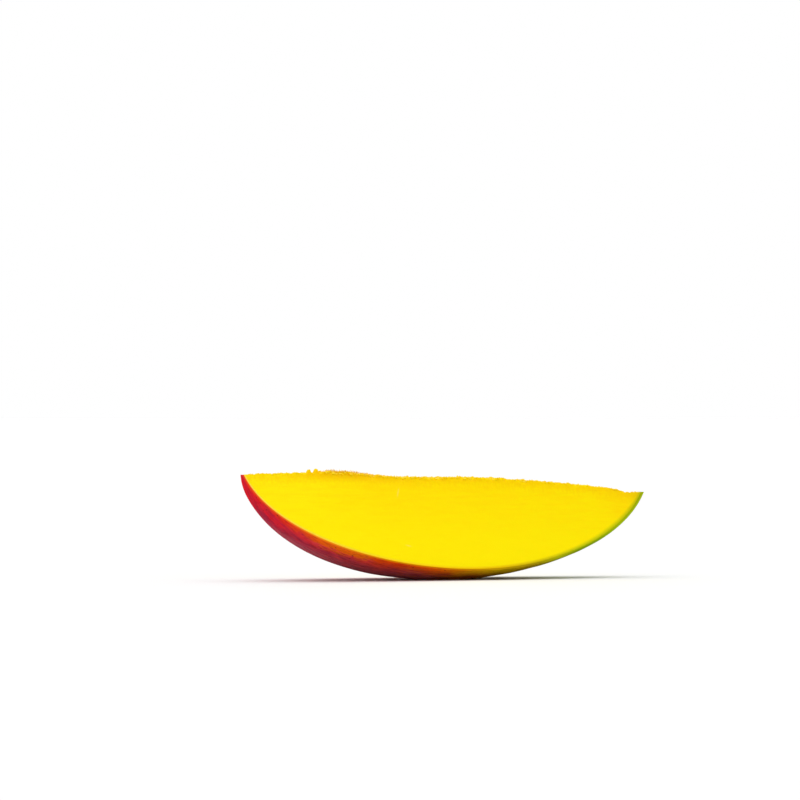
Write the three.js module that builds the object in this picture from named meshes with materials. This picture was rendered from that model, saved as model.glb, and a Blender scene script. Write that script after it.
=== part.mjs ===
// A slice of fresh mango, cut lengthwise from the fruit as a wedge, with its peel on.
// Millimetres, +Z up. X runs along the slice, with the stem end of the fruit at -X.
// The slice lies on its peel. A knife-cut face leans back on each side, and along the top
// runs the narrow, rough strip where the flesh came off the stone.

import * as THREE from 'three';

// The fruit from the side: two half curves that meet at its widest place.
// A fullness of 2 is half of an ellipse, and more makes a blunter end.
const FRUIT_DEPTH = 37.4;
const STEM_REACH = 58.5;
const STEM_FULLNESS = 2.2;
const FAR_REACH = 68.5;
const FAR_FULLNESS = 1.91;

// Across the slice the peel is an arc of an ellipse.
// Its breadth over its depth grows towards the far end, so the stem end is the narrower keel.
const PEEL_BREADTH = 1.0;
const PEEL_BREADTH_GAIN = 0.0042;

// The two cut faces, in degrees from upright. A hand-held knife leans more at the stem end.
const FACE_LEAN = 28;
const FACE_LEAN_LOSS = 0.083;

// The strip along the top. Its depth is measured from the fruit's axis at both ends of the slice,
// and its crown is how far it bows up between them.
const STRIP_DEPTH = 9.7;
const STRIP_CROWN = 2;
const STRIP_WIDTH = 3.2;
const STRIP_END_WIDTH = 1.2;

// Where the flesh tore off deeper, the strip sags between the cut faces and is wider.
const STRIP_HOLLOWS = [
  { place: -9, reach: 17, depth: 0.85 },
  { place: 61, reach: 4, depth: 1.8 },
];

// Torn fibres leave the strip uneven, with one raised tuft near the stem end.
const FIBRE_WAVES = [
  { along: 9.1, across: 7.3, height: 0.12 },
  { along: 5.2, across: -3.4, height: 0.14 },
  { along: 3.3, across: 2.1, height: 0.12 },
];
const TUFT_PLACE = -32;
const TUFT_REACH = 7.5;
const TUFT_HEIGHT = 0.6;

// How it rests: the far end lies lower, and the peel is pressed flat where it bears.
const LENGTH_TILT = 2.6;
const PRESSED_FLAT = 0.3;

// How finely the surface is divided.
const STATIONS = 96;
const PEEL_STEPS = 18;
const FACE_STEPS = 4;
const STRIP_STEPS = 6;
const END_GAP = 0.35;

const FLESH_YELLOW = 0xfddc0c;

const radians = THREE.MathUtils.degToRad;

// Distance from the fruit's axis down to the peel, at a place along the axis.
function fruitDepth(x) {
  const reach = x < 0 ? STEM_REACH : FAR_REACH;
  const fullness = x < 0 ? STEM_FULLNESS : FAR_FULLNESS;
  const left = 1 - Math.abs(x / reach) ** fullness;
  return FRUIT_DEPTH * left ** (1 / fullness);
}

// Distance along the axis at which the fruit is only this deep.
function reachAtDepth(depth, reach, fullness) {
  const left = 1 - (depth / FRUIT_DEPTH) ** fullness;
  return reach * left ** (1 / fullness);
}

const STEM_TIP = -reachAtDepth(STRIP_DEPTH, STEM_REACH, STEM_FULLNESS);
const FAR_TIP = reachAtDepth(STRIP_DEPTH, FAR_REACH, FAR_FULLNESS);

// A hump that is 0 at both tips of the slice and 1 half way between them.
function hump(x) {
  const share = (x - STEM_TIP) / (FAR_TIP - STEM_TIP);
  return 4 * share * (1 - share);
}

function stripDepth(x) {
  return STRIP_DEPTH - STRIP_CROWN * hump(x);
}

function stripHalfWidth(x) {
  return (STRIP_END_WIDTH + (STRIP_WIDTH - STRIP_END_WIDTH) * hump(x)) / 2;
}

// How far the strip lies below its even line, which is not at all at both tips.
function stripSag(x) {
  let sag = 0;
  for (const hollow of STRIP_HOLLOWS) {
    sag += hollow.depth * Math.exp(-(((x - hollow.place) / hollow.reach) ** 2));
  }
  return sag * Math.sqrt(hump(x));
}

// How far a cut face leans out for each millimetre down.
function faceSlope(x) {
  return Math.tan(radians(FACE_LEAN - FACE_LEAN_LOSS * x));
}

// Angle from straight down, about the fruit's axis, at which a cut face comes out of the peel.
// The face leans out from the edge of the even strip, so the angle solves
// across * sin(angle) - down * cos(angle) = offset.
function peelHalfAngle(x) {
  const depth = fruitDepth(x);
  const slope = faceSlope(x);
  const across = peelBreadth(x) * depth;
  const down = depth * slope;
  const offset = stripHalfWidth(x) - stripDepth(x) * slope;
  return Math.atan2(down, across) + Math.asin(offset / Math.hypot(across, down));
}

function peelBreadth(x) {
  return PEEL_BREADTH + PEEL_BREADTH_GAIN * x;
}

// Height of the torn fibres above the smooth strip.
function fibreRelief(x, y) {
  let height = TUFT_HEIGHT * Math.exp(-(((x - TUFT_PLACE) / TUFT_REACH) ** 2));
  for (const wave of FIBRE_WAVES) {
    height += wave.height * Math.sin(2 * Math.PI * (x / wave.along + y / wave.across));
  }
  return height * Math.sqrt(hump(x));
}

// One section across the slice, as a closed ring seen from the far end:
// along the peel, up the back face, over the strip and down the front face.
function sectionRing(x) {
  const depth = fruitDepth(x);
  const halfAngle = peelHalfAngle(x);
  const stripHalf = stripHalfWidth(x) + stripSag(x) * faceSlope(x);
  const stripHeight = -stripDepth(x) - stripSag(x);
  const onPeel = (share) => {
    const angle = halfAngle * share;
    return new THREE.Vector3(x, peelBreadth(x) * depth * Math.sin(angle), -depth * Math.cos(angle));
  };
  const onStrip = (share) => {
    const y = stripHalf * share;
    return new THREE.Vector3(x, y, stripHeight + fibreRelief(x, y));
  };
  const onFace = (side, step) => {
    const edge = new THREE.Vector3(x, side * stripHalf, stripHeight);
    return onPeel(side).lerp(edge, 1 - (1 - step / FACE_STEPS) ** 2);
  };
  const ring = [];
  for (let i = 0; i <= PEEL_STEPS; i++) {
    ring.push(onPeel((2 * i) / PEEL_STEPS - 1));
  }
  for (let i = 1; i < FACE_STEPS; i++) {
    ring.push(onFace(1, i));
  }
  for (let i = 0; i <= STRIP_STEPS; i++) {
    ring.push(onStrip(1 - (2 * i) / STRIP_STEPS));
  }
  for (let i = 1; i < FACE_STEPS; i++) {
    ring.push(onFace(-1, FACE_STEPS - i));
  }
  return ring;
}

// Places of the sections, twice as close at the tips as they are on average.
function stationPlaces() {
  const first = STEM_TIP + END_GAP;
  const last = FAR_TIP - END_GAP;
  const places = [];
  for (let i = 0; i <= STATIONS; i++) {
    const even = i / STATIONS;
    const eased = (1 - Math.cos(Math.PI * even)) / 2;
    places.push(first + (last - first) * (even + eased) / 2);
  }
  return places;
}

// Skin over the rings, closed at each tip by a fan to one point.
function sliceGeometry() {
  const rings = stationPlaces().map(sectionRing);
  const around = rings[0].length;
  const points = [new THREE.Vector3(STEM_TIP, 0, -STRIP_DEPTH), ...rings.flat()];
  const farPoint = points.length;
  points.push(new THREE.Vector3(FAR_TIP, 0, -STRIP_DEPTH));
  const faces = [];
  for (let j = 0; j < around; j++) {
    const next = (j + 1) % around;
    faces.push(0, 1 + next, 1 + j);
    for (let i = 0; i < rings.length - 1; i++) {
      const here = 1 + i * around;
      const there = here + around;
      faces.push(here + j, here + next, there + next);
      faces.push(here + j, there + next, there + j);
    }
    const lastRing = farPoint - around;
    faces.push(farPoint, lastRing + j, lastRing + next);
  }
  const geometry = new THREE.BufferGeometry().setFromPoints(points);
  geometry.setIndex(faces);
  return geometry;
}

// Turns the slice to the way it lies and presses the peel flat where it bears.
function layDown(geometry) {
  geometry.rotateY(radians(LENGTH_TILT));
  geometry.computeBoundingBox();
  const bearing = geometry.boundingBox.min.z + PRESSED_FLAT;
  const position = geometry.attributes.position;
  for (let i = 0; i < position.count; i++) {
    position.setZ(i, Math.max(position.getZ(i) - bearing, 0));
  }
  geometry.computeBoundingBox();
  const middle = geometry.boundingBox.getCenter(new THREE.Vector3());
  geometry.translate(-middle.x, -middle.y, 0);
  geometry.computeVertexNormals();
  return geometry;
}

const flesh = new THREE.MeshStandardMaterial({ color: FLESH_YELLOW, roughness: 0.5, metalness: 0 });
const slice = new THREE.Mesh(layDown(sliceGeometry()), flesh);
slice.name = 'mango_slice';

const part = new THREE.Group();
part.add(slice);

export default part;
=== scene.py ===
import math

import bpy
import numpy as np
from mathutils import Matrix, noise


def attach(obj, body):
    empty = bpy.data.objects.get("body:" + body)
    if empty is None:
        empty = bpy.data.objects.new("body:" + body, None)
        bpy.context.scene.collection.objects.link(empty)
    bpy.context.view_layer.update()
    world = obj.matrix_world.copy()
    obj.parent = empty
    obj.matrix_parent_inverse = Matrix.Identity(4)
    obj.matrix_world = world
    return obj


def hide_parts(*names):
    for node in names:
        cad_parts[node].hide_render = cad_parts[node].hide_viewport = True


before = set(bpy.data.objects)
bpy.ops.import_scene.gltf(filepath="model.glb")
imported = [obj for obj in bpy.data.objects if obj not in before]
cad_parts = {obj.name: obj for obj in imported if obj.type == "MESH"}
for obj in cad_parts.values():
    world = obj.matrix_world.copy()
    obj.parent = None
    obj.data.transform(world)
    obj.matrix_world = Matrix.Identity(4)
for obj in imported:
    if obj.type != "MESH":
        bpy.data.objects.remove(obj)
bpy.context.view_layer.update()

# The peel is one thin, tough skin, grown to the flesh all along the underside of the slice.
# It is red towards the stem end of the fruit and green at the far end. The knife cut it flush
# with the flesh, so its pale inner layer shows as a narrow rim along both cut faces.

# The fruit from the side: two half curves that meet at its widest place.
FRUIT_DEPTH = 0.0374
STEM_REACH = 0.0585
STEM_FULLNESS = 2.2
FAR_REACH = 0.0685
FAR_FULLNESS = 1.91

# Its breadth over its depth grows towards the far end, here per metre.
PEEL_BREADTH = 1.0
PEEL_BREADTH_GAIN = 4.2

# The lean of both cut faces from upright, in degrees, and what it loses per metre.
FACE_LEAN = 28
FACE_LEAN_LOSS = 83

# The strip along the top, between the cut faces. It bows up by its crown.
STRIP_DEPTH = 0.0097
STRIP_CROWN = 0.002
STRIP_WIDTH = 0.0032
STRIP_END_WIDTH = 0.0012

# The far end lies lower, and the peel is pressed flat where it bears.
LENGTH_TILT = math.radians(2.6)
PRESSED_FLAT = 0.0003

# RIM_PLACES are the rows of points across its cut edge, as shares of its thickness.
PEEL_THICKNESS = 0.0008
PEEL_STATIONS = 400
PEEL_STEPS = 60
RIM_PLACES = (0.2, 0.4, 0.6, 0.8)
SKIN_WAVE = 0.00007
SKIN_WAVE_SIZE = 0.009


def fruit_depth(x, pare=0.0):
    """Depth of the fruit below its axis at x, once a layer is pared off all round."""
    reach = np.where(x < 0, STEM_REACH, FAR_REACH) - pare
    fullness = np.where(x < 0, STEM_FULLNESS, FAR_FULLNESS)
    left = np.clip(1 - np.abs(x / reach) ** fullness, 0, 1)
    return (FRUIT_DEPTH - pare) * left ** (1 / fullness)


def slice_tips(pare=0.0):
    """Both places along the axis where the fruit is only as deep as the strip's ends."""
    share = STRIP_DEPTH / (FRUIT_DEPTH - pare)
    stem = (STEM_REACH - pare) * (1 - share**STEM_FULLNESS) ** (1 / STEM_FULLNESS)
    far = (FAR_REACH - pare) * (1 - share**FAR_FULLNESS) ** (1 / FAR_FULLNESS)
    return -stem, far


def hump(x):
    """0 at both tips of the slice and 1 half way between them."""
    stem, far = slice_tips()
    share = np.clip((x - stem) / (far - stem), 0, 1)
    return 4 * share * (1 - share)


def strip_depth(x):
    return STRIP_DEPTH - STRIP_CROWN * hump(x)


def strip_half_width(x):
    return (STRIP_END_WIDTH + (STRIP_WIDTH - STRIP_END_WIDTH) * hump(x)) / 2


def face_lean(x):
    return np.radians(FACE_LEAN - FACE_LEAN_LOSS * x)


def cut_angle(x, depth):
    """Angle from straight down at which a cut face comes out of a surface this deep."""
    slope = np.tan(face_lean(x))
    across = (PEEL_BREADTH + PEEL_BREADTH_GAIN * x) * depth
    down = depth * slope
    offset = strip_half_width(x) - strip_depth(x) * slope
    return np.arctan2(down, across) + np.arcsin(offset / np.hypot(across, down))


def skin_points(x, share, pare=0.0, wave=0.0):
    """Points of the skin, from share -1 at the front cut to 1 at the back cut."""
    depth = fruit_depth(x, pare) + wave
    angle = cut_angle(x, depth) * share
    across = (PEEL_BREADTH + PEEL_BREADTH_GAIN * x) * depth
    return np.stack([x + 0 * angle, across * np.sin(angle), -depth * np.cos(angle)], -1)


def stations(count, pare=0.0):
    """Places along the slice, twice as close at the tips as they are on average."""
    even = np.linspace(0, 1, count)
    eased = (1 - np.cos(np.pi * even)) / 2
    stem, far = slice_tips(pare)
    return (stem + (far - stem) * (even + eased) / 2)[:, None]


def turned(points):
    """Points tilted from the fruit's own axes to the way the slice lies."""
    x, y, z = np.moveaxis(points, -1, 0)
    tilt_cos, tilt_sin = math.cos(LENGTH_TILT), math.sin(LENGTH_TILT)
    return np.stack([x * tilt_cos + z * tilt_sin, y, z * tilt_cos - x * tilt_sin], -1)


def laid_down(points):
    """Points as the slice lies on its peel, in the frame of the CAD."""
    keel = turned(skin_points(stations(PEEL_STATIONS), np.zeros((1, 1))))
    ends = turned(np.array([[tip, 0, -STRIP_DEPTH] for tip in slice_tips()]))
    placed = turned(points) - [ends[:, 0].mean(), 0, keel[..., 2].min() + PRESSED_FLAT]
    placed[..., 2] = np.maximum(placed[..., 2], 0)
    return placed


def cloud(points, size, octaves=3, shift=0.0):
    """Soft random values of about -1 to 1, with lumps of this size. A shift gives other values."""
    places = (points.reshape(-1, 3) / size + shift).tolist()
    values = [noise.fractal(place, 1.0, 2.0, octaves) for place in places]
    return np.array(values).reshape(points.shape[:-1])


def loft_faces(count, around):
    """Quads over rings that run front, under, back and over, and over both end rings."""
    ring = np.arange(around)[None, :]
    start = np.arange(count - 1)[:, None] * around
    after = (ring + 1) % around
    sides = np.stack([start + ring, start + after, start + around + after, start + around + ring], -1)
    step = np.arange(around // 2 - 1)
    end = np.stack([step, step + 1, around - 2 - step, around - 1 - step], -1)
    return np.concatenate([sides.reshape(-1, 4), end[:, ::-1], end + (count - 1) * around])


def mesh_piece(name, points, faces, sharp_angle, **values):
    """A smooth-shaded mesh object, with one named number for each of its points."""
    mesh = bpy.data.meshes.new(name)
    mesh.from_pydata(points.reshape(-1, 3).tolist(), [], faces.tolist())
    for value_name, numbers in values.items():
        attribute = mesh.attributes.new(value_name, "FLOAT", "POINT")
        attribute.data.foreach_set("value", numbers.astype(np.float32).ravel())
    mesh.shade_smooth()
    mesh.set_sharp_from_angle(angle=math.radians(sharp_angle))
    piece = bpy.data.objects.new(name, mesh)
    bpy.context.scene.collection.objects.link(piece)
    return piece


share = np.linspace(-1, 1, PEEL_STEPS + 1)[None, :]
outer_x = stations(PEEL_STATIONS)
inner_x = stations(PEEL_STATIONS, PEEL_THICKNESS)
smooth_skin = skin_points(outer_x, share)
wave = SKIN_WAVE * cloud(smooth_skin, SKIN_WAVE_SIZE) * np.sqrt(hump(outer_x))
outer = skin_points(outer_x, share, wave=wave)
inner = skin_points(inner_x, share, PEEL_THICKNESS)


def rim_points(side, places):
    """Rows across the cut edge of the peel, from 0 at its outside to 1 at the flesh."""
    outside, inside = outer[:, side : side + 1 or None], inner[:, side : side + 1 or None]
    return outside + (inside - outside) * np.array(places)[None, :, None]


rim_half = len(RIM_PLACES) // 2
peel_rings = np.concatenate(
    [
        rim_points(0, RIM_PLACES[rim_half - 1 :: -1]),
        outer,
        rim_points(-1, RIM_PLACES),
        inner[:, ::-1],
        rim_points(0, RIM_PLACES[: rim_half - 1 : -1]),
    ],
    axis=1,
)
rim_share = np.concatenate(
    [
        RIM_PLACES[rim_half - 1 :: -1],
        np.zeros(PEEL_STEPS + 1),
        RIM_PLACES,
        np.ones(PEEL_STEPS + 1),
        RIM_PLACES[: rim_half - 1 : -1],
    ]
)
keel = smooth_skin[:, PEEL_STEPS // 2]
lengthwise = np.concatenate([[0], np.cumsum(np.linalg.norm(np.diff(keel, axis=0), axis=1))])
half_arc = (fruit_depth(outer_x) * cut_angle(outer_x, fruit_depth(outer_x)))[:, 0]
outer_share = share[0]
ring_share = np.concatenate(
    [np.full(rim_half, -1), outer_share, np.ones(len(RIM_PLACES)), -outer_share, np.full(rim_half, -1)]
)
ring_size = (len(peel_rings), 1)
peel = mesh_piece(
    "peel",
    laid_down(peel_rings),
    loft_faces(*peel_rings.shape[:2]),
    sharp_angle=50,
    lengthwise=np.tile(lengthwise[:, None], (1, len(ring_share))),
    crosswise=half_arc[:, None] * ring_share[None, :],
    from_cut=half_arc[:, None] * (1 - np.abs(ring_share[None, :])),
    rim=np.tile(rim_share, ring_size),
)


def tone(code):
    """A colour written as on screen, turned into the light that it stands for."""
    channels = [int(code[i : i + 2], 16) / 255 for i in (0, 2, 4)]
    return (*[c / 12.92 if c <= 0.04045 else ((c + 0.055) / 1.055) ** 2.4 for c in channels], 1)


def put(tree, kind, settings=None, **inputs):
    """Adds a node. An input is a value or another node's output, and _ stands for a space."""
    node = tree.nodes.new(kind)
    for name, value in (settings or {}).items():
        setattr(node, name, value)
    for name, value in inputs.items():
        join(tree, value, node.inputs[name.replace("_", " ")])
    return node


def join(tree, value, socket):
    """Sets a socket to a value, or links another node's output to it."""
    if isinstance(value, bpy.types.NodeSocket):
        tree.links.new(value, socket)
    else:
        socket.default_value = value


def calc(tree, operation, *values):
    """A Math node's result."""
    node = put(tree, "ShaderNodeMath", {"operation": operation})
    for value, socket in zip(values, node.inputs):
        join(tree, value, socket)
    return node.outputs[0]


def fade(tree, value, start, end, low=0.0, high=1.0):
    """low where value is at start, high where it is at end, and eased between them."""
    node = put(
        tree,
        "ShaderNodeMapRange",
        {"interpolation_type": "SMOOTHSTEP"},
        Value=value,
        From_Min=start,
        From_Max=end,
        To_Min=low,
        To_Max=high,
    )
    return node.outputs["Result"]


def mixed(tree, share_of_second, first, second, way="MIX"):
    """Two colours mixed."""
    node = put(tree, "ShaderNodeMix", {"data_type": "RGBA", "blend_type": way})
    join(tree, share_of_second, node.inputs["Factor"])
    join(tree, first, [s for s in node.inputs if s.identifier == "A_Color"][0])
    join(tree, second, [s for s in node.inputs if s.identifier == "B_Color"][0])
    return [s for s in node.outputs if s.identifier == "Result_Color"][0]


def colours_along(tree, value, stops):
    """A colour ramp through (place, colour) stops."""
    node = put(tree, "ShaderNodeValToRGB", Fac=value)
    stops_made = node.color_ramp.elements
    while len(stops_made) < len(stops):
        stops_made.new(0.5)
    for made, (place, colour) in zip(stops_made, stops):
        made.position = place
        made.color = colour
    return node.outputs["Color"]


def numbers_along(tree, value, stops):
    """A number that runs in straight lines through (place, number) stops."""
    top = max(number for _, number in stops)
    greys = [(place, (number / top,) * 3 + (1,)) for place, number in stops]
    return calc(tree, "MULTIPLY", colours_along(tree, value, greys), top)


def numbers_of(tree, name):
    """The numbers that the mesh's points carry under this name."""
    return put(tree, "ShaderNodeAttribute", {"attribute_name": name}).outputs["Fac"]


def millimetres_of(tree, name):
    return calc(tree, "MULTIPLY", numbers_of(tree, name), 1000)


def mottle(tree, where, scale, detail, roughness=0.5):
    """Random values of 0 to 1, mostly near 0.5. A larger scale makes finer spots."""
    numbers = {"Scale": scale, "Detail": detail, "Roughness": roughness}
    return put(tree, "ShaderNodeTexNoise", Vector=where, **numbers).outputs["Fac"]


def wandering(tree, value, spots, reach):
    """value, shifted either way with the mottle, by half of reach at most."""
    return calc(tree, "ADD", value, calc(tree, "MULTIPLY_ADD", spots, reach, -reach / 2))


# Both tips of the slice, in metres, as the materials see them.
SLICE_START = -0.0614
SLICE_END = 0.0614


def place_on_slice(tree):
    """The place in metres, and how far along the slice that is: 0 at its stem tip, 1 at its far tip."""
    place = put(tree, "ShaderNodeTexCoord").outputs["Object"]
    x = put(tree, "ShaderNodeSeparateXYZ", Vector=place).outputs["X"]
    along = put(tree, "ShaderNodeMapRange", Value=x, From_Min=SLICE_START, From_Max=SLICE_END)
    return place, along.outputs["Result"]


def feed_bump(tree, shader, height, strength, distance):
    """Lets the light see a fine relief. distance is its depth in metres."""
    bump = put(tree, "ShaderNodeBump", Strength=strength, Distance=distance, Height=height)
    join(tree, bump.outputs["Normal"], shader.inputs["Normal"])


def set_plain(shader, **values):
    """Sets what is the same all over the surface. Here too _ stands for a space."""
    for name, value in values.items():
        shader.inputs[name.replace("_", " ")].default_value = value


def new_material(name):
    """A material with an empty tree, its shader and its output."""
    material = bpy.data.materials.new(name)
    material.use_nodes = True
    tree = material.node_tree
    tree.nodes.clear()
    shader = put(tree, "ShaderNodeBsdfPrincipled")
    put(tree, "ShaderNodeOutputMaterial", Surface=shader.outputs["BSDF"])
    return material, tree, shader


# The colours of the skin, from the blush of the sunny side to the green of the shaded side.
CRIMSON = tone("de1628")
CHERRY = tone("d02e38")
BRICK = tone("be3818")
RUST = tone("b8540e")
OCHRE = tone("c49804")
MUSTARD = tone("a28604")
OLIVE = tone("929c08")
MOSS = tone("6c7c0c")
LEAF = tone("a4b00e")

# Beside the cut it is warmer: partly the skin's own colour, partly painted light that glows
# through the thin cut edge.
VERMILION = tone("e4321c")
FLAME = tone("ec600e")
ORANGE = tone("e46a06")
AMBER = tone("c06a00")
GOLD = tone("b48c00")
WINE = tone("9c2e46")
# Low under the slice it is darker and bluer: partly the skin's own colour, partly painted shade and a
# painted reflection of the floor.
ROSE = tone("a63c48")
CORAL = tone("c25a68")
# A greyish pink that stands for the floor's reflection: a painted sheen.
PAINTED_SHEEN = tone("b8707a")

# Its mottles and dots. The pink streaks are partly a painted sheen on the red skin.
DEEP_RED = tone("7c1020")
PINK = tone("e44848")
MAGENTA = tone("961c40")
UMBER = tone("3c1c10")

# Where each colour lies along the slice, from 0 at its stem tip to 1 at its far tip. The widths
# are those of the warm band beside the cut, in millimetres, and the tints those of the mottles.
# The light tints also stand for a painted sheen on the red end.
BODY_COLOURS = [
    (0.00, CRIMSON), (0.14, CHERRY), (0.36, BRICK), (0.47, RUST),
    (0.57, OCHRE), (0.68, MUSTARD), (0.76, OLIVE), (0.84, MOSS), (0.96, LEAF),
]
# The warm band beside the cut: partly the skin's own colour, partly painted glow through the thin edge.
CUT_COLOURS_AND_GLOW = [
    (0.00, VERMILION), (0.10, VERMILION), (0.17, FLAME), (0.26, ORANGE), (0.30, tone("e04c04")),
    (0.35, tone("cc3800")), (0.40, tone("e05600")), (0.48, tone("c87000")), (0.59, tone("be9a00")),
    (0.65, tone("a08600")), (0.70, MUSTARD), (0.75, tone("989c06")), (0.81, tone("728408")),
    (0.95, LEAF),
]
# Low under the slice: darker, bluer tones, partly the skin's own colour, partly painted shade and a
# painted floor reflection.
KEEL_COLOURS_AND_SHADE = [
    (0.00, tone("b8182c")), (0.06, tone("a4203c")), (0.13, WINE), (0.28, ROSE), (0.42, CORAL),
    (0.53, RUST), (0.64, MUSTARD), (0.76, OLIVE), (0.86, MOSS),
]
CUT_WIDTHS = [
    (0.03, 1.0), (0.10, 2.4), (0.15, 4.0), (0.25, 3.6), (0.30, 2.8),
    (0.36, 1.8), (0.42, 2.0), (0.50, 3.0), (0.75, 2.2),
]
DARK_TINTS = [
    (0.0, DEEP_RED), (0.40, DEEP_RED), (0.54, tone("7c3c08")), (0.64, tone("7c6004")),
    (0.85, tone("4c600a")),
]
LIGHT_TINTS_AND_SHEEN = [
    (0.0, CRIMSON), (0.08, CRIMSON), (0.16, PINK), (0.28, PINK), (0.35, tone("dc5010")),
    (0.45, tone("dc7c04")), (0.54, tone("cc8c04")), (0.70, tone("a09404")), (0.90, LEAF),
]

# The cut edge shows the layers of the peel: a thin coloured skin, then pale rind.
UNDER_SKIN_COLOURS = [
    (0.0, VERMILION), (0.15, tone("e87a10")), (0.3, tone("cc7400")), (0.45, AMBER), (0.6, GOLD),
    (0.7, tone("948404")), (0.75, tone("a0a408")), (0.8, tone("788a0a")), (0.86, tone("7c980a")),
    (0.92, tone("9cb40c")), (1.0, tone("a0b00c")),
]
PALE_LAYER_COLOURS = [
    (0.0, tone("fccc48")), (0.3, tone("fcd01c")), (0.45, tone("fcd00a")), (0.6, tone("ecc406")),
    (0.7, tone("c8b406")), (0.8, tone("9cac06")), (0.9, tone("a4b008")), (1.0, tone("90a008")),
]

# How far the colours wander along the slice, as a share of it, and round it, in millimetres.
BLUSH_WANDER = 0.14
KEEL_WANDER_MM = 8.0

# How strongly each mottle shows, and how much weaker they are beside the cut.
DARK_STREAKS = 0.48
LIGHT_STREAKS = 0.45
LIGHT_FLECKS = 0.42
DARK_SPECKS = 0.40
STEM_BLOTCHES = 0.30
QUIETER_AT_CUT = 0.5

# How fine its mottles, dots and pits are. Streaks and flecks are drawn out along the fruit.
STREAK_STRETCH = (0.3, 1.0, 1.0)
STREAK_SCALE = 850
FLECK_SCALE = 1700
PATCH_SCALE = 120
BLOTCH_SCALE = 320
DOT_SCALE = 560
GLOSS_SCALE = 900
PIT_SCALE = 1500
PIT_DEPTH = 0.00008

peel_skin, tree, shader = new_material("peel_skin")
_, along = place_on_slice(tree)
from_cut_mm = millimetres_of(tree, "from_cut")
rim = numbers_of(tree, "rim")
lengthwise, crosswise = numbers_of(tree, "lengthwise"), numbers_of(tree, "crosswise")
on_skin = put(tree, "ShaderNodeCombineXYZ", X=lengthwise, Y=crosswise).outputs[0]
drawn_out = put(tree, "ShaderNodeMapping", Vector=on_skin, Scale=STREAK_STRETCH).outputs[0]
streaks = mottle(tree, drawn_out, STREAK_SCALE, 4, 0.65)
flecks = mottle(tree, drawn_out, FLECK_SCALE, 3, 0.6)
patches = mottle(tree, on_skin, PATCH_SCALE, 3)
blotches = mottle(tree, drawn_out, BLOTCH_SCALE, 3)
blush_place = wandering(tree, along, patches, BLUSH_WANDER)

body = colours_along(tree, blush_place, BODY_COLOURS)
# Beside the cut: partly the skin's own warmer colour, partly painted light glowing through the thin
# edge.
near_cut_and_glow = colours_along(tree, blush_place, CUT_COLOURS_AND_GLOW)
keel_colour_and_shade = colours_along(tree, blush_place, KEEL_COLOURS_AND_SHADE)
ragged = fade(tree, streaks, 0.3, 0.7, low=0.45, high=1.55)
cut_width = calc(tree, "MULTIPLY", numbers_along(tree, along, CUT_WIDTHS), ragged)
cut_share = fade(tree, calc(tree, "DIVIDE", from_cut_mm, cut_width), 0.35, 1.25, low=1.0, high=0.0)
keel_place = wandering(tree, from_cut_mm, blotches, KEEL_WANDER_MM)
# Near the bottom edge of the red end: a greyish pink painted sheen, the floor's reflection.
red_end = fade(tree, along, 0.3, 0.5, low=1.0, high=0.0)
painted_sheen_share = calc(tree, "MULTIPLY", fade(tree, from_cut_mm, 7.0, 12.0, high=0.4), red_end)
# Towards the bottom the peel turns to the keel tones: partly skin colour, partly painted shade and a
# painted floor reflection.
colour = mixed(tree, fade(tree, keel_place, 2.5, 9.0), body, keel_colour_and_shade)
colour = mixed(tree, painted_sheen_share, colour, PAINTED_SHEEN)
colour = mixed(tree, cut_share, colour, near_cut_and_glow)

# Its mottles: dark and light streaks, fine flecks and specks, and bluer blotches at the stem end.
# On the red end the light streaks and flecks are partly a painted sheen.
dark_tint = colours_along(tree, along, DARK_TINTS)
light_tint_and_sheen = mixed(tree, cut_share, colours_along(tree, along, LIGHT_TINTS_AND_SHEEN), near_cut_and_glow)
quieter = calc(tree, "SUBTRACT", 1.0, calc(tree, "MULTIPLY", cut_share, QUIETER_AT_CUT))
dark_share = calc(tree, "MULTIPLY", fade(tree, streaks, 0.52, 0.60, high=DARK_STREAKS), quieter)
light_share = fade(tree, streaks, 0.40, 0.48, low=LIGHT_STREAKS, high=0.0)
fleck_share = fade(tree, flecks, 0.54, 0.60, high=LIGHT_FLECKS)
speck_share = fade(tree, flecks, 0.39, 0.45, low=DARK_SPECKS, high=0.0)
stem_end = fade(tree, along, 0.05, 0.40, low=1.0, high=0.0)
blotch_share = calc(tree, "MULTIPLY", fade(tree, blotches, 0.52, 0.62, high=STEM_BLOTCHES), stem_end)
colour = mixed(tree, dark_share, colour, dark_tint)
colour = mixed(tree, light_share, colour, light_tint_and_sheen)
colour = mixed(tree, fleck_share, colour, light_tint_and_sheen)
colour = mixed(tree, speck_share, colour, dark_tint)
colour = mixed(tree, blotch_share, colour, MAGENTA)

# Small brown dots, closer together beside the cut.
cells = put(tree, "ShaderNodeTexVoronoi", {"feature": "F1"}, Vector=on_skin, Scale=DOT_SCALE)
chance = put(tree, "ShaderNodeSeparateColor", Color=cells.outputs["Color"]).outputs["Red"]
round_dot = fade(tree, cells.outputs["Distance"], 0.09, 0.17, low=1.0, high=0.0)
dot = calc(tree, "MULTIPLY", round_dot, fade(tree, chance, 0.35, 0.45))
dot_share = calc(tree, "MULTIPLY", dot, fade(tree, from_cut_mm, 2.0, 7.0, low=0.9, high=0.4))
colour = mixed(tree, dot_share, colour, UMBER)

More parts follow.
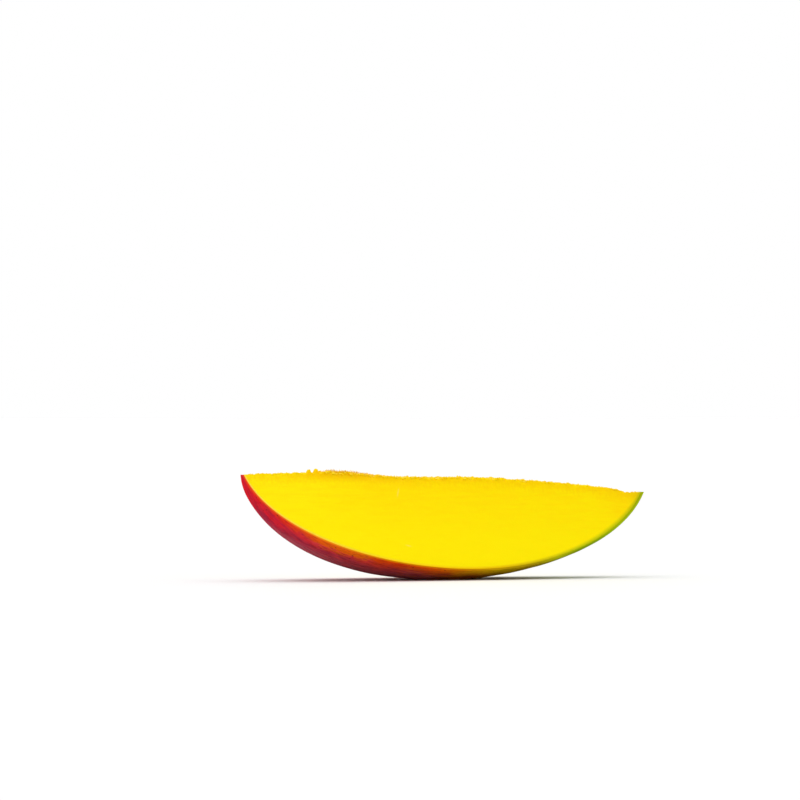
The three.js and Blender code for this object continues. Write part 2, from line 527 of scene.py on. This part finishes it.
# Across the cut edge of the peel, from its outside to the flesh.
colour = mixed(tree, fade(tree, rim, 0.0, 0.2), colour, colours_along(tree, along, UNDER_SKIN_COLOURS))
colour = mixed(tree, fade(tree, rim, 0.55, 0.8), colour, colours_along(tree, along, PALE_LAYER_COLOURS))
join(tree, colour, shader.inputs["Base Color"])
gloss = mottle(tree, on_skin, GLOSS_SCALE, 2)
join(tree, fade(tree, gloss, 0.3, 0.7, low=0.40, high=0.60), shader.inputs["Roughness"])
pits = calc(tree, "MULTIPLY", mottle(tree, on_skin, PIT_SCALE, 2), 0.5)
feed_bump(tree, shader, calc(tree, "SUBTRACT", pits, dot), strength=0.35, distance=PIT_DEPTH)
set_plain(shader, Specular_IOR_Level=0.0, Coat_Weight=0.03, Coat_Roughness=0.3)

peel.data.materials.append(peel_skin)
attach(peel, "root")
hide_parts("mango_slice")

# The flesh is soft, wet and full of fine fibres that run along the fruit. Two strokes of a knife
# made its flat faces, which keep faint ripples and nicks. Along the top it was cut and torn off
# the stone, which left a narrow strip of broken pulp.

FLESH_GAP = 0.00002
FLESH_STATIONS = 620
UNDER_STEPS = 16
FACE_STEPS = 43
STRIP_STEPS = 20

# Where the flesh tore off deeper, the strip sags: each hollow has a place, a reach and a depth.
STRIP_HOLLOWS = (
    (-0.009, 0.017, 0.00085),
    (0.061, 0.004, 0.0018),
)

# The waves of the strip, each by its length along, its length across and its height. Then its
# tuft, and the finer broken pulp on it, which dies out down the faces.
FIBRE_WAVES = (
    (0.0091, 0.0073, 0.00012),
    (0.0052, -0.0034, 0.00014),
    (0.0033, 0.0021, 0.00012),
)
TUFT_PLACE = -0.032
TUFT_REACH = 0.0075
TUFT_HEIGHT = 0.0004
PULP_HEIGHT = 0.00022
PULP_LIFT = 0.3
PULP_SIZE = 0.0008
PULP_FADE = 0.0006
PULP_SHIFT = 31.7
RELIEF_END = 0.004

# Two knobs of pulp stand up beside the tuft: each has a place along and across, a radius and a
# height. A steeper knob has a flatter top.
KNOB_STEEPNESS = 6
PULP_KNOBS = (
    (-0.0373, -0.0006, 0.00066, 0.00138),
    (-0.0350, -0.0005, 0.00072, 0.00118),
)

# Ripples of the knife on the faces, and the lie of the fibres, which slope down to the far end.
RIPPLE_HEIGHT = 0.00010
RIPPLE_SIZE = 0.011
RIPPLE_FADE = 0.0015
FIBRE_HEIGHT = 0.00005
FIBRE_SIZE = 0.0012
FIBRE_STRETCH = 9
FIBRE_SLOPE = math.radians(-18)


def strip_sag(x):
    """How far the strip lies below its even line, which is not at all at both tips."""
    sag = sum(depth * np.exp(-(((x - place) / reach) ** 2)) for place, reach, depth in STRIP_HOLLOWS)
    return sag * np.sqrt(hump(x))


def strip_relief(x, y):
    """Height of the waves, the tuft and the knobs above the smooth strip."""
    height = TUFT_HEIGHT * np.exp(-(((x - TUFT_PLACE) / TUFT_REACH) ** 2))
    for along_wave, across_wave, wave_height in FIBRE_WAVES:
        height = height + wave_height * np.sin(2 * np.pi * (x / along_wave + y / across_wave))
    for along_knob, across_knob, radius, knob_height in PULP_KNOBS:
        distance = np.hypot(x - along_knob, y - across_knob)
        height = height + knob_height * np.exp(-((distance / radius) ** KNOB_STEEPNESS))
    return height * np.sqrt(hump(x))


flesh_pare = PEEL_THICKNESS + FLESH_GAP
x = stations(FLESH_STATIONS + 2, flesh_pare)[1:-1]
under = skin_points(x, np.linspace(-1, 1, UNDER_STEPS + 1)[None, :], flesh_pare)
strip_share = np.linspace(1, -1, STRIP_STEPS + 1)[None, :]
strip_half = strip_half_width(x) + strip_sag(x) * np.tan(face_lean(x))
strip_height = 0 * strip_share - strip_depth(x) - strip_sag(x)
strip = np.stack([x + 0 * strip_share, strip_half * strip_share, strip_height], -1)
even = np.linspace(0, 1, FACE_STEPS + 1)[1:-1]
climb = ((even + (1 - np.cos(np.pi * even)) / 2) / 2)[None, :, None]
back = under[:, -1:] + (strip[:, :1] - under[:, -1:]) * climb
front = strip[:, -1:] + (under[:, :1] - strip[:, -1:]) * climb
flesh_rings = np.concatenate([under, back, strip, front], axis=1)

back_span = slice(UNDER_STEPS + 1, UNDER_STEPS + FACE_STEPS)
strip_span = slice(UNDER_STEPS + FACE_STEPS, UNDER_STEPS + FACE_STEPS + STRIP_STEPS + 1)
front_span = slice(UNDER_STEPS + FACE_STEPS + STRIP_STEPS + 1, None)

# How far each point is from the peel and from the top, along its face. The underside is far
# enough from the top to be clear of all that lies there.
from_peel = np.zeros(flesh_rings.shape[:2])
from_top = np.full(flesh_rings.shape[:2], FRUIT_DEPTH)
from_peel[:, back_span] = np.linalg.norm(back - under[:, -1:], axis=-1)
from_peel[:, front_span] = np.linalg.norm(front - under[:, :1], axis=-1)
from_peel[:, strip_span] = np.linalg.norm(strip[:, :1] - under[:, -1:], axis=-1)
from_top[:, back_span] = np.linalg.norm(back - strip[:, :1], axis=-1)
from_top[:, front_span] = np.linalg.norm(front - strip[:, -1:], axis=-1)
from_top[:, strip_span] = 0

# The faces first: ripples and fibres stand out along the way each face looks.
lean = face_lean(x)
for span, side in ((back_span, 1), (front_span, -1)):
    face = flesh_rings[:, span]
    slope_cos, slope_sin = math.cos(FIBRE_SLOPE), math.sin(FIBRE_SLOPE)
    fibre_place = np.stack(
        [
            (face[..., 0] * slope_cos + face[..., 2] * slope_sin) / FIBRE_STRETCH,
            0 * face[..., 1] + side,
            face[..., 2] * slope_cos - face[..., 0] * slope_sin,
        ],
        -1,
    )
    relief = RIPPLE_HEIGHT * cloud(face, RIPPLE_SIZE) + FIBRE_HEIGHT * cloud(fibre_place, FIBRE_SIZE)
    relief = relief * np.clip(from_peel[:, span] / RIPPLE_FADE, 0, 1) * np.sqrt(hump(x))
    face[..., 1] += side * np.cos(lean) * relief
    face[..., 2] += np.sin(lean) * relief

# Then the torn top, which dies out a little way down each face.
torn = np.exp(-((from_top / PULP_FADE) ** 2)) * np.sqrt(hump(x))
pulp_up = PULP_HEIGHT * (PULP_LIFT + cloud(flesh_rings, PULP_SIZE, 5))
pulp_out = PULP_HEIGHT * cloud(flesh_rings, PULP_SIZE, 4, shift=PULP_SHIFT)
edge_y = np.clip(flesh_rings[..., 1], -strip_half, strip_half)
relief_share = np.exp(-from_top / PULP_FADE) * (from_top < RELIEF_END)
flesh_rings[..., 2] += torn * pulp_up + relief_share * strip_relief(x, edge_y)
flesh_rings[..., 1] += torn * pulp_out

flesh = mesh_piece(
    "flesh",
    laid_down(flesh_rings),
    loft_faces(*flesh_rings.shape[:2]),
    sharp_angle=60,
    from_peel=from_peel,
    from_top=from_top,
)

# What flesh, torn fibres and juice share: lemon to golden yellow, faint fibres and wet grain.
FLESH_COLOURS = [
    (0.0, (0.98, 0.780, 0.0, 1)), (0.18, (0.98, 0.775, 0.0, 1)), (0.35, (0.98, 0.725, 0.0, 1)),
    (0.60, (0.98, 0.735, 0.0, 1)), (0.88, (0.98, 0.760, 0.0, 1)), (0.98, (0.97, 0.680, 0.0, 1)),
]
GRAIN_SHADE = (1.0, 0.96, 1.0, 1)
FIBRE_SHADE = (1.0, 0.94, 1.0, 1)
JUICE_AMBER = (0.90, 0.46, 0.0, 1)
FLESH_WANDER = 0.16
FINE_FIBRE_SCALE = 900
FLESH_PATCH_SCALE = 90

flesh_tone = bpy.data.node_groups.new("flesh_tone", "ShaderNodeTree")
flesh_inputs = {"Grain Size": 0.0007, "Grain Depth": 0.5, "Fibre Depth": 0.5, "Amber": 0.0}
for name, value in flesh_inputs.items():
    socket = flesh_tone.interface.new_socket(name, in_out="INPUT", socket_type="NodeSocketFloat")
    socket.default_value = value
flesh_tone.interface.new_socket("Color", in_out="OUTPUT", socket_type="NodeSocketColor")
flesh_tone.interface.new_socket("Height", in_out="OUTPUT", socket_type="NodeSocketFloat")
tree = flesh_tone
given = put(tree, "NodeGroupInput").outputs
place, along = place_on_slice(tree)
grain = mottle(tree, place, calc(tree, "DIVIDE", 1.0, given["Grain Size"]), 3)
fibre_turn, fibre_scale = (0, FIBRE_SLOPE, 0), (1 / FIBRE_STRETCH, 1.0, 1.0)
fibre_place = put(tree, "ShaderNodeMapping", Vector=place, Rotation=fibre_turn, Scale=fibre_scale)
fibres = mottle(tree, fibre_place.outputs[0], FINE_FIBRE_SCALE, 4, 0.6)
patches = mottle(tree, place, FLESH_PATCH_SCALE, 2)
colour = colours_along(tree, wandering(tree, along, patches, FLESH_WANDER), FLESH_COLOURS)
grain_share = calc(tree, "MULTIPLY", fade(tree, grain, 0.35, 0.65), given["Grain Depth"])
colour = mixed(tree, grain_share, colour, GRAIN_SHADE, "MULTIPLY")
fibre_share = calc(tree, "MULTIPLY", fade(tree, fibres, 0.40, 0.62), given["Fibre Depth"])
colour = mixed(tree, fibre_share, colour, FIBRE_SHADE, "MULTIPLY")
colour = mixed(tree, given["Amber"], colour, JUICE_AMBER)
grain_height = calc(tree, "MULTIPLY", grain, given["Grain Depth"])
fibre_height = calc(tree, "MULTIPLY", fibres, given["Fibre Depth"])
put(tree, "NodeGroupOutput", Color=colour, Height=calc(tree, "ADD", grain_height, fibre_height))


def with_flesh_tone(material_tree, **inputs):
    """The shared flesh tone, placed in a material with its own values."""
    return put(material_tree, "ShaderNodeGroup", {"node_tree": flesh_tone}, **inputs).outputs


# The juice is deepest near the top. Next to it the fibres were pulled upright, which leaves fine
# streaks, and further down the flesh is plain lemon. Beside the peel it is paler at the stem end
# and greener at the far end. Over the far tip the face is darkened towards that green, which is
# painted shade, and the band's widening at the far tip is partly painted shade as well. The widths
# are in millimetres.
AMBER_SHARES = [
    (0.10, 0.30), (0.15, 0.6), (0.20, 0.9), (0.28, 0.95), (0.34, 0.72), (0.38, 0.5),
    (0.60, 0.4), (1.0, 0.35),
]
AMBER_DEPTH_MM = 3.2
LEMON = (0.98, 0.790, 0.0, 1)
PULLED_AMBER = (0.92, 0.60, 0.0, 1)
PULLED_SCALE = 1500
PULLED_STRETCH = (1.0, 1.0, 0.12)
BESIDE_PEEL_COLOURS = [
    (0.0, tone("fcdc44")), (0.30, tone("fcd820")), (0.45, tone("fcd40c")), (0.60, tone("f4cc06")),
    (0.70, tone("dcc406")), (0.80, tone("c4c406")), (0.92, tone("c2c404")), (1.0, tone("c0b408")),
]
BESIDE_PEEL_WIDTHS = [
    (0.05, 0.6), (0.35, 0.6), (0.60, 0.7), (0.70, 0.9), (0.80, 1.3), (0.92, 1.9), (0.975, 2.2),
    (1.0, 3.6),
]
WET_SCALE = 260
GRAIN_DEPTH = 0.00015

# Light gets into wet flesh, red light furthest and blue light hardly at all.
FLESH_GLOW_REACH = (1.0, 0.7, 0.1)

# Where the knife slipped it left two pale nicks in the shown face: each has a place along and
# up, a slope and two half sizes.
NICKS = (
    (-0.01585, 0.0248, 1.20, 0.0019, 0.00030),
    (-0.0157, 0.00995, -0.25, 0.0013, 0.00030),
)
NICK_PALE = tone("fff0a0")
NICK_STRENGTH = 0.22

cut_flesh, tree, shader = new_material("cut_flesh")
from_peel_mm = millimetres_of(tree, "from_peel")
from_top_mm = millimetres_of(tree, "from_top")
place, along = place_on_slice(tree)
near_top = fade(tree, from_top_mm, 0.0, AMBER_DEPTH_MM, low=0.8, high=0.0)
amber = calc(tree, "MULTIPLY", near_top, numbers_along(tree, along, AMBER_SHARES))
tones = with_flesh_tone(tree, Grain_Depth=0.5, Fibre_Depth=0.7, Amber=amber)
colour = mixed(tree, fade(tree, from_top_mm, 3.0, 22.0, high=0.8), tones["Color"], LEMON)
pulled_place = put(tree, "ShaderNodeMapping", Vector=place, Scale=PULLED_STRETCH).outputs[0]
pulled = fade(tree, mottle(tree, pulled_place, PULLED_SCALE, 3), 0.45, 0.58)
pulled_share = calc(tree, "MULTIPLY", pulled, fade(tree, from_top_mm, 0.3, 5.0, low=0.55, high=0.0))
colour = mixed(tree, pulled_share, colour, PULLED_AMBER)
beside_width = numbers_along(tree, along, BESIDE_PEEL_WIDTHS)
beside = fade(tree, calc(tree, "DIVIDE", from_peel_mm, beside_width), 0.0, 1.0, low=1.0, high=0.0)
# Over the far tip the face takes the greener beside-peel tone: painted shade.
beside = calc(tree, "MAXIMUM", beside, fade(tree, along, 0.945, 1.0, high=0.5))
colour = mixed(tree, beside, colour, colours_along(tree, along, BESIDE_PEEL_COLOURS))

# The nicks, each a small ellipse that pales towards its middle.
axes = put(tree, "ShaderNodeSeparateXYZ", Vector=place).outputs
flat_place = put(tree, "ShaderNodeCombineXYZ", X=axes["X"], Y=axes["Z"]).outputs[0]
shown_side = calc(tree, "LESS_THAN", axes["Y"], 0.0)
for nick_along, nick_up, nick_slope, half_length, half_width in NICKS:
    nick_place = put(
        tree,
        "ShaderNodeMapping",
        {"vector_type": "TEXTURE"},
        Vector=flat_place,
        Location=(nick_along, nick_up, 0),
        Rotation=(0, 0, nick_slope),
        Scale=(half_length, half_width, 1),
    ).outputs[0]
    distance = put(tree, "ShaderNodeVectorMath", {"operation": "LENGTH"}, Vector=nick_place)
    nick = fade(tree, distance.outputs["Value"], 0.0, 1.0, low=NICK_STRENGTH, high=0.0)
    colour = mixed(tree, calc(tree, "MULTIPLY", nick, shown_side), colour, NICK_PALE)
join(tree, colour, shader.inputs["Base Color"])
wet = mottle(tree, place, WET_SCALE, 3)
join(tree, fade(tree, wet, 0.35, 0.65, low=0.36, high=0.55), shader.inputs["Roughness"])
feed_bump(tree, shader, tones["Height"], strength=0.6, distance=GRAIN_DEPTH)
set_plain(
    shader,
    Specular_IOR_Level=0.0,
    Coat_Weight=0.08,
    Coat_Roughness=0.3,
    Subsurface_Weight=0.25,
    Subsurface_Radius=FLESH_GLOW_REACH,
    Subsurface_Scale=0.0015,
)

flesh.data.materials.append(cut_flesh)
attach(flesh, "root")
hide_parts("mango_slice")

# Torn fibres stand up from the strip: short, fine, wet threads of flesh that the stone pulled out.
# They are longest and closest in the tuft near the stem end.

THREAD_LENGTH = 0.0011
THREAD_THICKNESS = 0.00006
THREADS_PER_AREA = 22.0e6
THREAD_SEED = 4

# A thread starts below the strip and bends. Its middle and its end lie this far out and up, as
# shares of its length. It leans by up to THREAD_LEAN, and its tip is thinner by THREAD_TAPER.
THREAD_ROOT = -0.0002
THREAD_MIDDLE = (0.05, 0.6)
THREAD_END = (0.3, 0.95)
THREAD_STEPS = 5
THREAD_SIDES = 4
THREAD_LEAN = 0.4
THREAD_TAPER = 0.6
THREAD_GRAIN_DEPTH = 0.00005

# How high the torn pulp stands, as a share, at places along the fruit.
TUFT_PLACES = (-0.056, -0.039, -0.034, -0.0325, -0.030, -0.022, -0.018, -0.013, 0.060)
TUFT_SHARES = (0.15, 0.20, 0.2, 0.75, 0.9, 0.85, 0.5, 0.25, 0.18)
CLUMP_SIZE = 0.003

# It grows on the strip, as a bed that reaches a little down the faces. It thins out there and at
# both tips, and leaves the knobs free.
BED_ROWS_DOWN = 2
BED_FADE = 0.0008
TIP_GAIN = 4
KNOB_CLEARANCE = 1.6
GROWTH_LEAST = 0.4
GROWTH_MOST = 1.2

bed_span = slice(strip_span.start - BED_ROWS_DOWN, strip_span.stop + BED_ROWS_DOWN)
bed_points = laid_down(flesh_rings)[:, bed_span]
bed_count, bed_around = bed_points.shape[:2]
corner = np.arange(bed_count - 1)[:, None] * bed_around + np.arange(bed_around - 1)[None, :]
bed_faces = np.stack([corner, corner + 1, corner + bed_around + 1, corner + bed_around], -1)
on_top = np.exp(-from_top[:, bed_span] / BED_FADE)
clumps = 0.85 + 0.4 * cloud(bed_points, CLUMP_SIZE, 2)
tuft = np.interp(x, TUFT_PLACES, TUFT_SHARES) * clumps * (0.4 + 0.6 * on_top)
crowd = np.clip(hump(x) * TIP_GAIN, 0, 1) * (on_top > 0.99)
for along_knob, across_knob, radius, _ in PULP_KNOBS:
    distance = np.hypot(x - along_knob, flesh_rings[:, bed_span, 1] - across_knob)
    crowd = crowd * (distance > KNOB_CLEARANCE * radius)
strip_bed = mesh_piece(
    "strip_bed", bed_points, bed_faces.reshape(-1, 4), sharp_angle=180, tuft=tuft, crowd=crowd
)


def bed_numbers(tree, name):
    """The numbers that the strip's points carry under this name."""
    node = put(tree, "GeometryNodeInputNamedAttribute", {"data_type": "FLOAT"}, Name=name)
    return node.outputs["Attribute"]


def random_number(tree, lowest, highest, seed):
    """A random number for each point. Inputs 2 and 3 are the range of a plain number."""
    node = put(tree, "FunctionNodeRandomValue", {"data_type": "FLOAT"}, Seed=seed)
    join(tree, lowest, node.inputs[2])
    join(tree, highest, node.inputs[3])
    return node.outputs[1]


def growth_tree(name, sizes, shape):
    """Geometry Nodes that strew points on the torn top and make a shape of them, larger in the tuft."""
    tree = bpy.data.node_groups.new(name, "GeometryNodeTree")
    tree.interface.new_socket("Geometry", in_out="INPUT", socket_type="NodeSocketGeometry")
    for size_name, value in sizes.items():
        socket = tree.interface.new_socket(size_name, in_out="INPUT", socket_type="NodeSocketFloat")
        socket.default_value = value
    tree.interface.new_socket("Seed", in_out="INPUT", socket_type="NodeSocketInt")
    tree.interface.new_socket("Material", in_out="INPUT", socket_type="NodeSocketMaterial")
    tree.interface.new_socket("Geometry", in_out="OUTPUT", socket_type="NodeSocketGeometry")
    given = put(tree, "NodeGroupInput").outputs
    left = calc(tree, "SUBTRACT", 1.0, given["Least"])
    size_here = calc(tree, "MULTIPLY_ADD", bed_numbers(tree, "tuft"), left, given["Least"])
    density = calc(tree, "MULTIPLY", given["Per Area"], size_here)
    points = put(
        tree,
        "GeometryNodeDistributePointsOnFaces",
        Mesh=given["Geometry"],
        Density=calc(tree, "MULTIPLY", density, bed_numbers(tree, "crowd")),
        Seed=given["Seed"],
    )
    growth = random_number(tree, GROWTH_LEAST, GROWTH_MOST, given["Seed"])
    growth = calc(tree, "MULTIPLY", growth, size_here)
    made = shape(tree, given, points, growth)
    real = put(tree, "GeometryNodeRealizeInstances", Geometry=made)
    coated = put(tree, "GeometryNodeSetMaterial", Geometry=real.outputs[0], Material=given["Material"])
    put(tree, "NodeGroupOutput", Geometry=coated.outputs[0])
    return tree


def grown_piece(name, tree, seed, material):
    """The tree's result on the strip, as a plain mesh piece of its own."""
    modifier = strip_bed.modifiers.new(name, "NODES")
    modifier.node_group = tree
    for item in tree.interface.items_tree:
        if item.in_out == "INPUT" and item.name == "Seed":
            modifier[item.identifier] = seed
        elif item.in_out == "INPUT" and item.name == "Material":
            modifier[item.identifier] = material
    evaluated = strip_bed.evaluated_get(bpy.context.evaluated_depsgraph_get())
    mesh = bpy.data.meshes.new_from_object(evaluated)
    mesh.name = name
    mesh.shade_smooth()
    strip_bed.modifiers.remove(modifier)
    piece = bpy.data.objects.new(name, mesh)
    bpy.context.scene.collection.objects.link(piece)
    return piece


def threads(tree, given, points, growth):
    """On each point one thread: a bent, tapering tube that rises out of the strip."""
    (middle_out, middle_up), (end_out, end_up) = [
        [calc(tree, "MULTIPLY", given["Length"], share) for share in shares]
        for shares in (THREAD_MIDDLE, THREAD_END)
    ]
    path = put(
        tree,
        "GeometryNodeCurveQuadraticBezier",
        Resolution=THREAD_STEPS,
        Start=(0, 0, THREAD_ROOT),
        Middle=put(tree, "ShaderNodeCombineXYZ", X=middle_out, Z=middle_up).outputs[0],
        End=put(tree, "ShaderNodeCombineXYZ", X=end_out, Z=end_up).outputs[0],
    )
    factor = put(tree, "GeometryNodeSplineParameter").outputs["Factor"]
    taper = calc(tree, "SUBTRACT", 1.0, calc(tree, "MULTIPLY", factor, THREAD_TAPER))
    tapered = put(tree, "GeometryNodeSetCurveRadius", Curve=path.outputs[0], Radius=taper)
    tube = put(
        tree,
        "GeometryNodeCurveToMesh",
        Curve=tapered.outputs[0],
        Profile_Curve=put(
            tree,
            "GeometryNodeCurvePrimitiveCircle",
            Resolution=THREAD_SIDES,
            Radius=given["Thickness"],
        ).outputs[0],
        Fill_Caps=True,
    )
    turn = put(tree, "FunctionNodeRandomValue", {"data_type": "FLOAT_VECTOR"}, Seed=given["Seed"])
    join(tree, (-THREAD_LEAN, -THREAD_LEAN, -math.pi), turn.inputs[0])
    join(tree, (THREAD_LEAN, THREAD_LEAN, math.pi), turn.inputs[1])
    rotation = put(
        tree,
        "FunctionNodeRotateRotation",
        {"rotation_space": "LOCAL"},
        Rotation=points.outputs["Rotation"],
        Rotate_By=put(tree, "FunctionNodeEulerToRotation", Euler=turn.outputs[0]).outputs[0],
    )
    placed = put(
        tree,
        "GeometryNodeInstanceOnPoints",
        Points=points.outputs["Points"],
        Instance=tube.outputs[0],
        Rotation=rotation.outputs[0],
        Scale=growth,
    )
    return placed.outputs[0]


torn_flesh, tree, shader = new_material("torn_flesh")
tones = with_flesh_tone(tree, Grain_Size=0.0004, Grain_Depth=0.8, Fibre_Depth=0.3, Amber=0.4)
join(tree, tones["Color"], shader.inputs["Base Color"])
feed_bump(tree, shader, tones["Height"], strength=0.3, distance=THREAD_GRAIN_DEPTH)
set_plain(shader, Roughness=0.35, Specular_IOR_Level=0.15)

thread_sizes = {
    "Length": THREAD_LENGTH,
    "Thickness": THREAD_THICKNESS,
    "Per Area": THREADS_PER_AREA,
    "Least": 0.0,
}
thread_tree = growth_tree("thread_growth", thread_sizes, threads)
torn_fibres = grown_piece("torn_fibres", thread_tree, THREAD_SEED, torn_flesh)
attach(torn_fibres, "root")
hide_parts("mango_slice")

# Broken pulp lies between the fibres: burst cells and juice that cling to the strip in soft,
# wet, amber lumps, heaped highest in the tuft.

LUMP_SIZE = 0.00034
LUMP_LEAST = 0.7
LUMP_HEAP = 0.00025
LUMPS_PER_AREA = 6.0e6
LUMP_GRID = 0.000115
LUMP_SOFTENING = 3
LUMP_SEED = 9
HEAP_SEED = 5


def lumps(tree, given, points, growth):
    """Soft lumps that run into each other, one round each point, at random heights in the heap."""
    heap = calc(tree, "MULTIPLY", random_number(tree, 0.0, 1.0, HEAP_SEED), bed_numbers(tree, "tuft"))
    heap = calc(tree, "MULTIPLY", heap, given["Heap"])
    raised = put(
        tree,
        "GeometryNodeSetPosition",
        Geometry=points.outputs["Points"],
        Offset=put(tree, "ShaderNodeCombineXYZ", Z=heap).outputs[0],
    )
    cloudy = put(
        tree,
        "GeometryNodePointsToVolume",
        {"resolution_mode": "VOXEL_SIZE"},
        Points=raised.outputs[0],
        Voxel_Size=given["Grid"],
        Radius=calc(tree, "MULTIPLY", growth, given["Size"]),
    )
    skinned = put(tree, "GeometryNodeVolumeToMesh", Volume=cloudy.outputs[0])
    place = put(tree, "GeometryNodeInputPosition").outputs[0]
    softened = put(
        tree,
        "GeometryNodeBlurAttribute",
        {"data_type": "FLOAT_VECTOR"},
        Iterations=LUMP_SOFTENING,
    )
    join(tree, place, [i for i in softened.inputs if i.type == "VECTOR"][0])
    soft_place = [o for o in softened.outputs if o.type == "VECTOR"][0]
    soft = put(tree, "GeometryNodeSetPosition", Geometry=skinned.outputs[0], Position=soft_place)
    return soft.outputs[0]


pulp_juice, tree, shader = new_material("pulp_juice")
tones = with_flesh_tone(tree, Grain_Size=0.0005, Grain_Depth=0.8, Fibre_Depth=0.0, Amber=0.35)
join(tree, tones["Color"], shader.inputs["Base Color"])
set_plain(
    shader,
    Roughness=0.25,
    Specular_IOR_Level=0.2,
    Subsurface_Weight=0.3,
    Subsurface_Radius=FLESH_GLOW_REACH,
    Subsurface_Scale=0.0008,
)

lump_sizes = {
    "Size": LUMP_SIZE,
    "Least": LUMP_LEAST,
    "Heap": LUMP_HEAP,
    "Per Area": LUMPS_PER_AREA,
    "Grid": LUMP_GRID,
}
pulp_tree = growth_tree("pulp_growth", lump_sizes, lumps)
pulp = grown_piece("pulp", pulp_tree, LUMP_SEED, pulp_juice)
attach(pulp, "root")
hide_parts("mango_slice")
bpy.data.objects.remove(strip_bed)

# The floor is a plain, pale, matt table under the slice. It is no part of the slice.

FLOOR_HALF = 12
FLOOR_DROP = 0.00002
FLOOR_GREY = 0.80

floor_corners = [
    (FLOOR_HALF * a, FLOOR_HALF * b, -FLOOR_DROP) for a, b in ((-1, -1), (1, -1), (1, 1), (-1, 1))
]
floor_mesh = bpy.data.meshes.new("floor")
floor_mesh.from_pydata(floor_corners, [], [(0, 1, 2, 3)])
floor = bpy.data.objects.new("floor", floor_mesh)
bpy.context.scene.collection.objects.link(floor)
floor_paint, tree, shader = new_material("floor_paint")
set_plain(
    shader,
    Base_Color=(FLOOR_GREY, FLOOR_GREY, FLOOR_GREY, 1),
    Roughness=0.7,
    Specular_IOR_Level=0.1,
)
floor.data.materials.append(floor_paint)

# Soft studio light: pale surroundings and one very wide light overhead. The surroundings are
# shown plain white behind the slice, and light it a little less than that.

SKY_SHOWN = 1.0
SKY_LIGHT = 0.78
OVERHEAD_SPOT = (-0.15, 0.1, 1.0)
OVERHEAD_POWER = 1.6
OVERHEAD_WIDTH = math.radians(80)

world = bpy.data.worlds.new("surroundings")
world.use_nodes = True
tree = world.node_tree
seen = put(tree, "ShaderNodeLightPath").outputs["Is Camera Ray"]
brightness = calc(tree, "MULTIPLY_ADD", seen, SKY_SHOWN - SKY_LIGHT, SKY_LIGHT)
tree.nodes["Background"].inputs["Color"].default_value = (1, 1, 1, 1)
join(tree, brightness, tree.nodes["Background"].inputs["Strength"])
bpy.context.scene.world = world
light = bpy.data.lights.new("overhead", "SUN")
light.energy = OVERHEAD_POWER
light.angle = OVERHEAD_WIDTH
overhead = bpy.data.objects.new("overhead", light)
overhead.location = OVERHEAD_SPOT
overhead.rotation_mode = "QUATERNION"
overhead.rotation_quaternion = overhead.location.to_track_quat("Z", "Y")
bpy.context.scene.collection.objects.link(overhead)

# The camera looks level across the slice, from a little to its stem side, as in the photograph.

CAMERA_TURN = math.radians(20)
CAMERA_BACK = 1.5013
CAMERA_ASIDE = -0.01285
CAMERA_HEIGHT = 0.05114
CAMERA_LENS = 236.25
SENSOR_WIDTH = 36

camera_data = bpy.data.cameras.new("camera")
camera_data.lens = CAMERA_LENS
camera_data.sensor_width = SENSOR_WIDTH
camera = bpy.data.objects.new("camera", camera_data)
turn_cos, turn_sin = math.cos(CAMERA_TURN), math.sin(CAMERA_TURN)
camera.location = (
    CAMERA_ASIDE * turn_cos - CAMERA_BACK * turn_sin,
    -CAMERA_ASIDE * turn_sin - CAMERA_BACK * turn_cos,
    CAMERA_HEIGHT,
)
camera.rotation_euler = (math.pi / 2, 0, -CAMERA_TURN)
bpy.context.scene.collection.objects.link(camera)
bpy.context.scene.camera = camera
bpy.context.scene.view_settings.view_transform = "Standard"
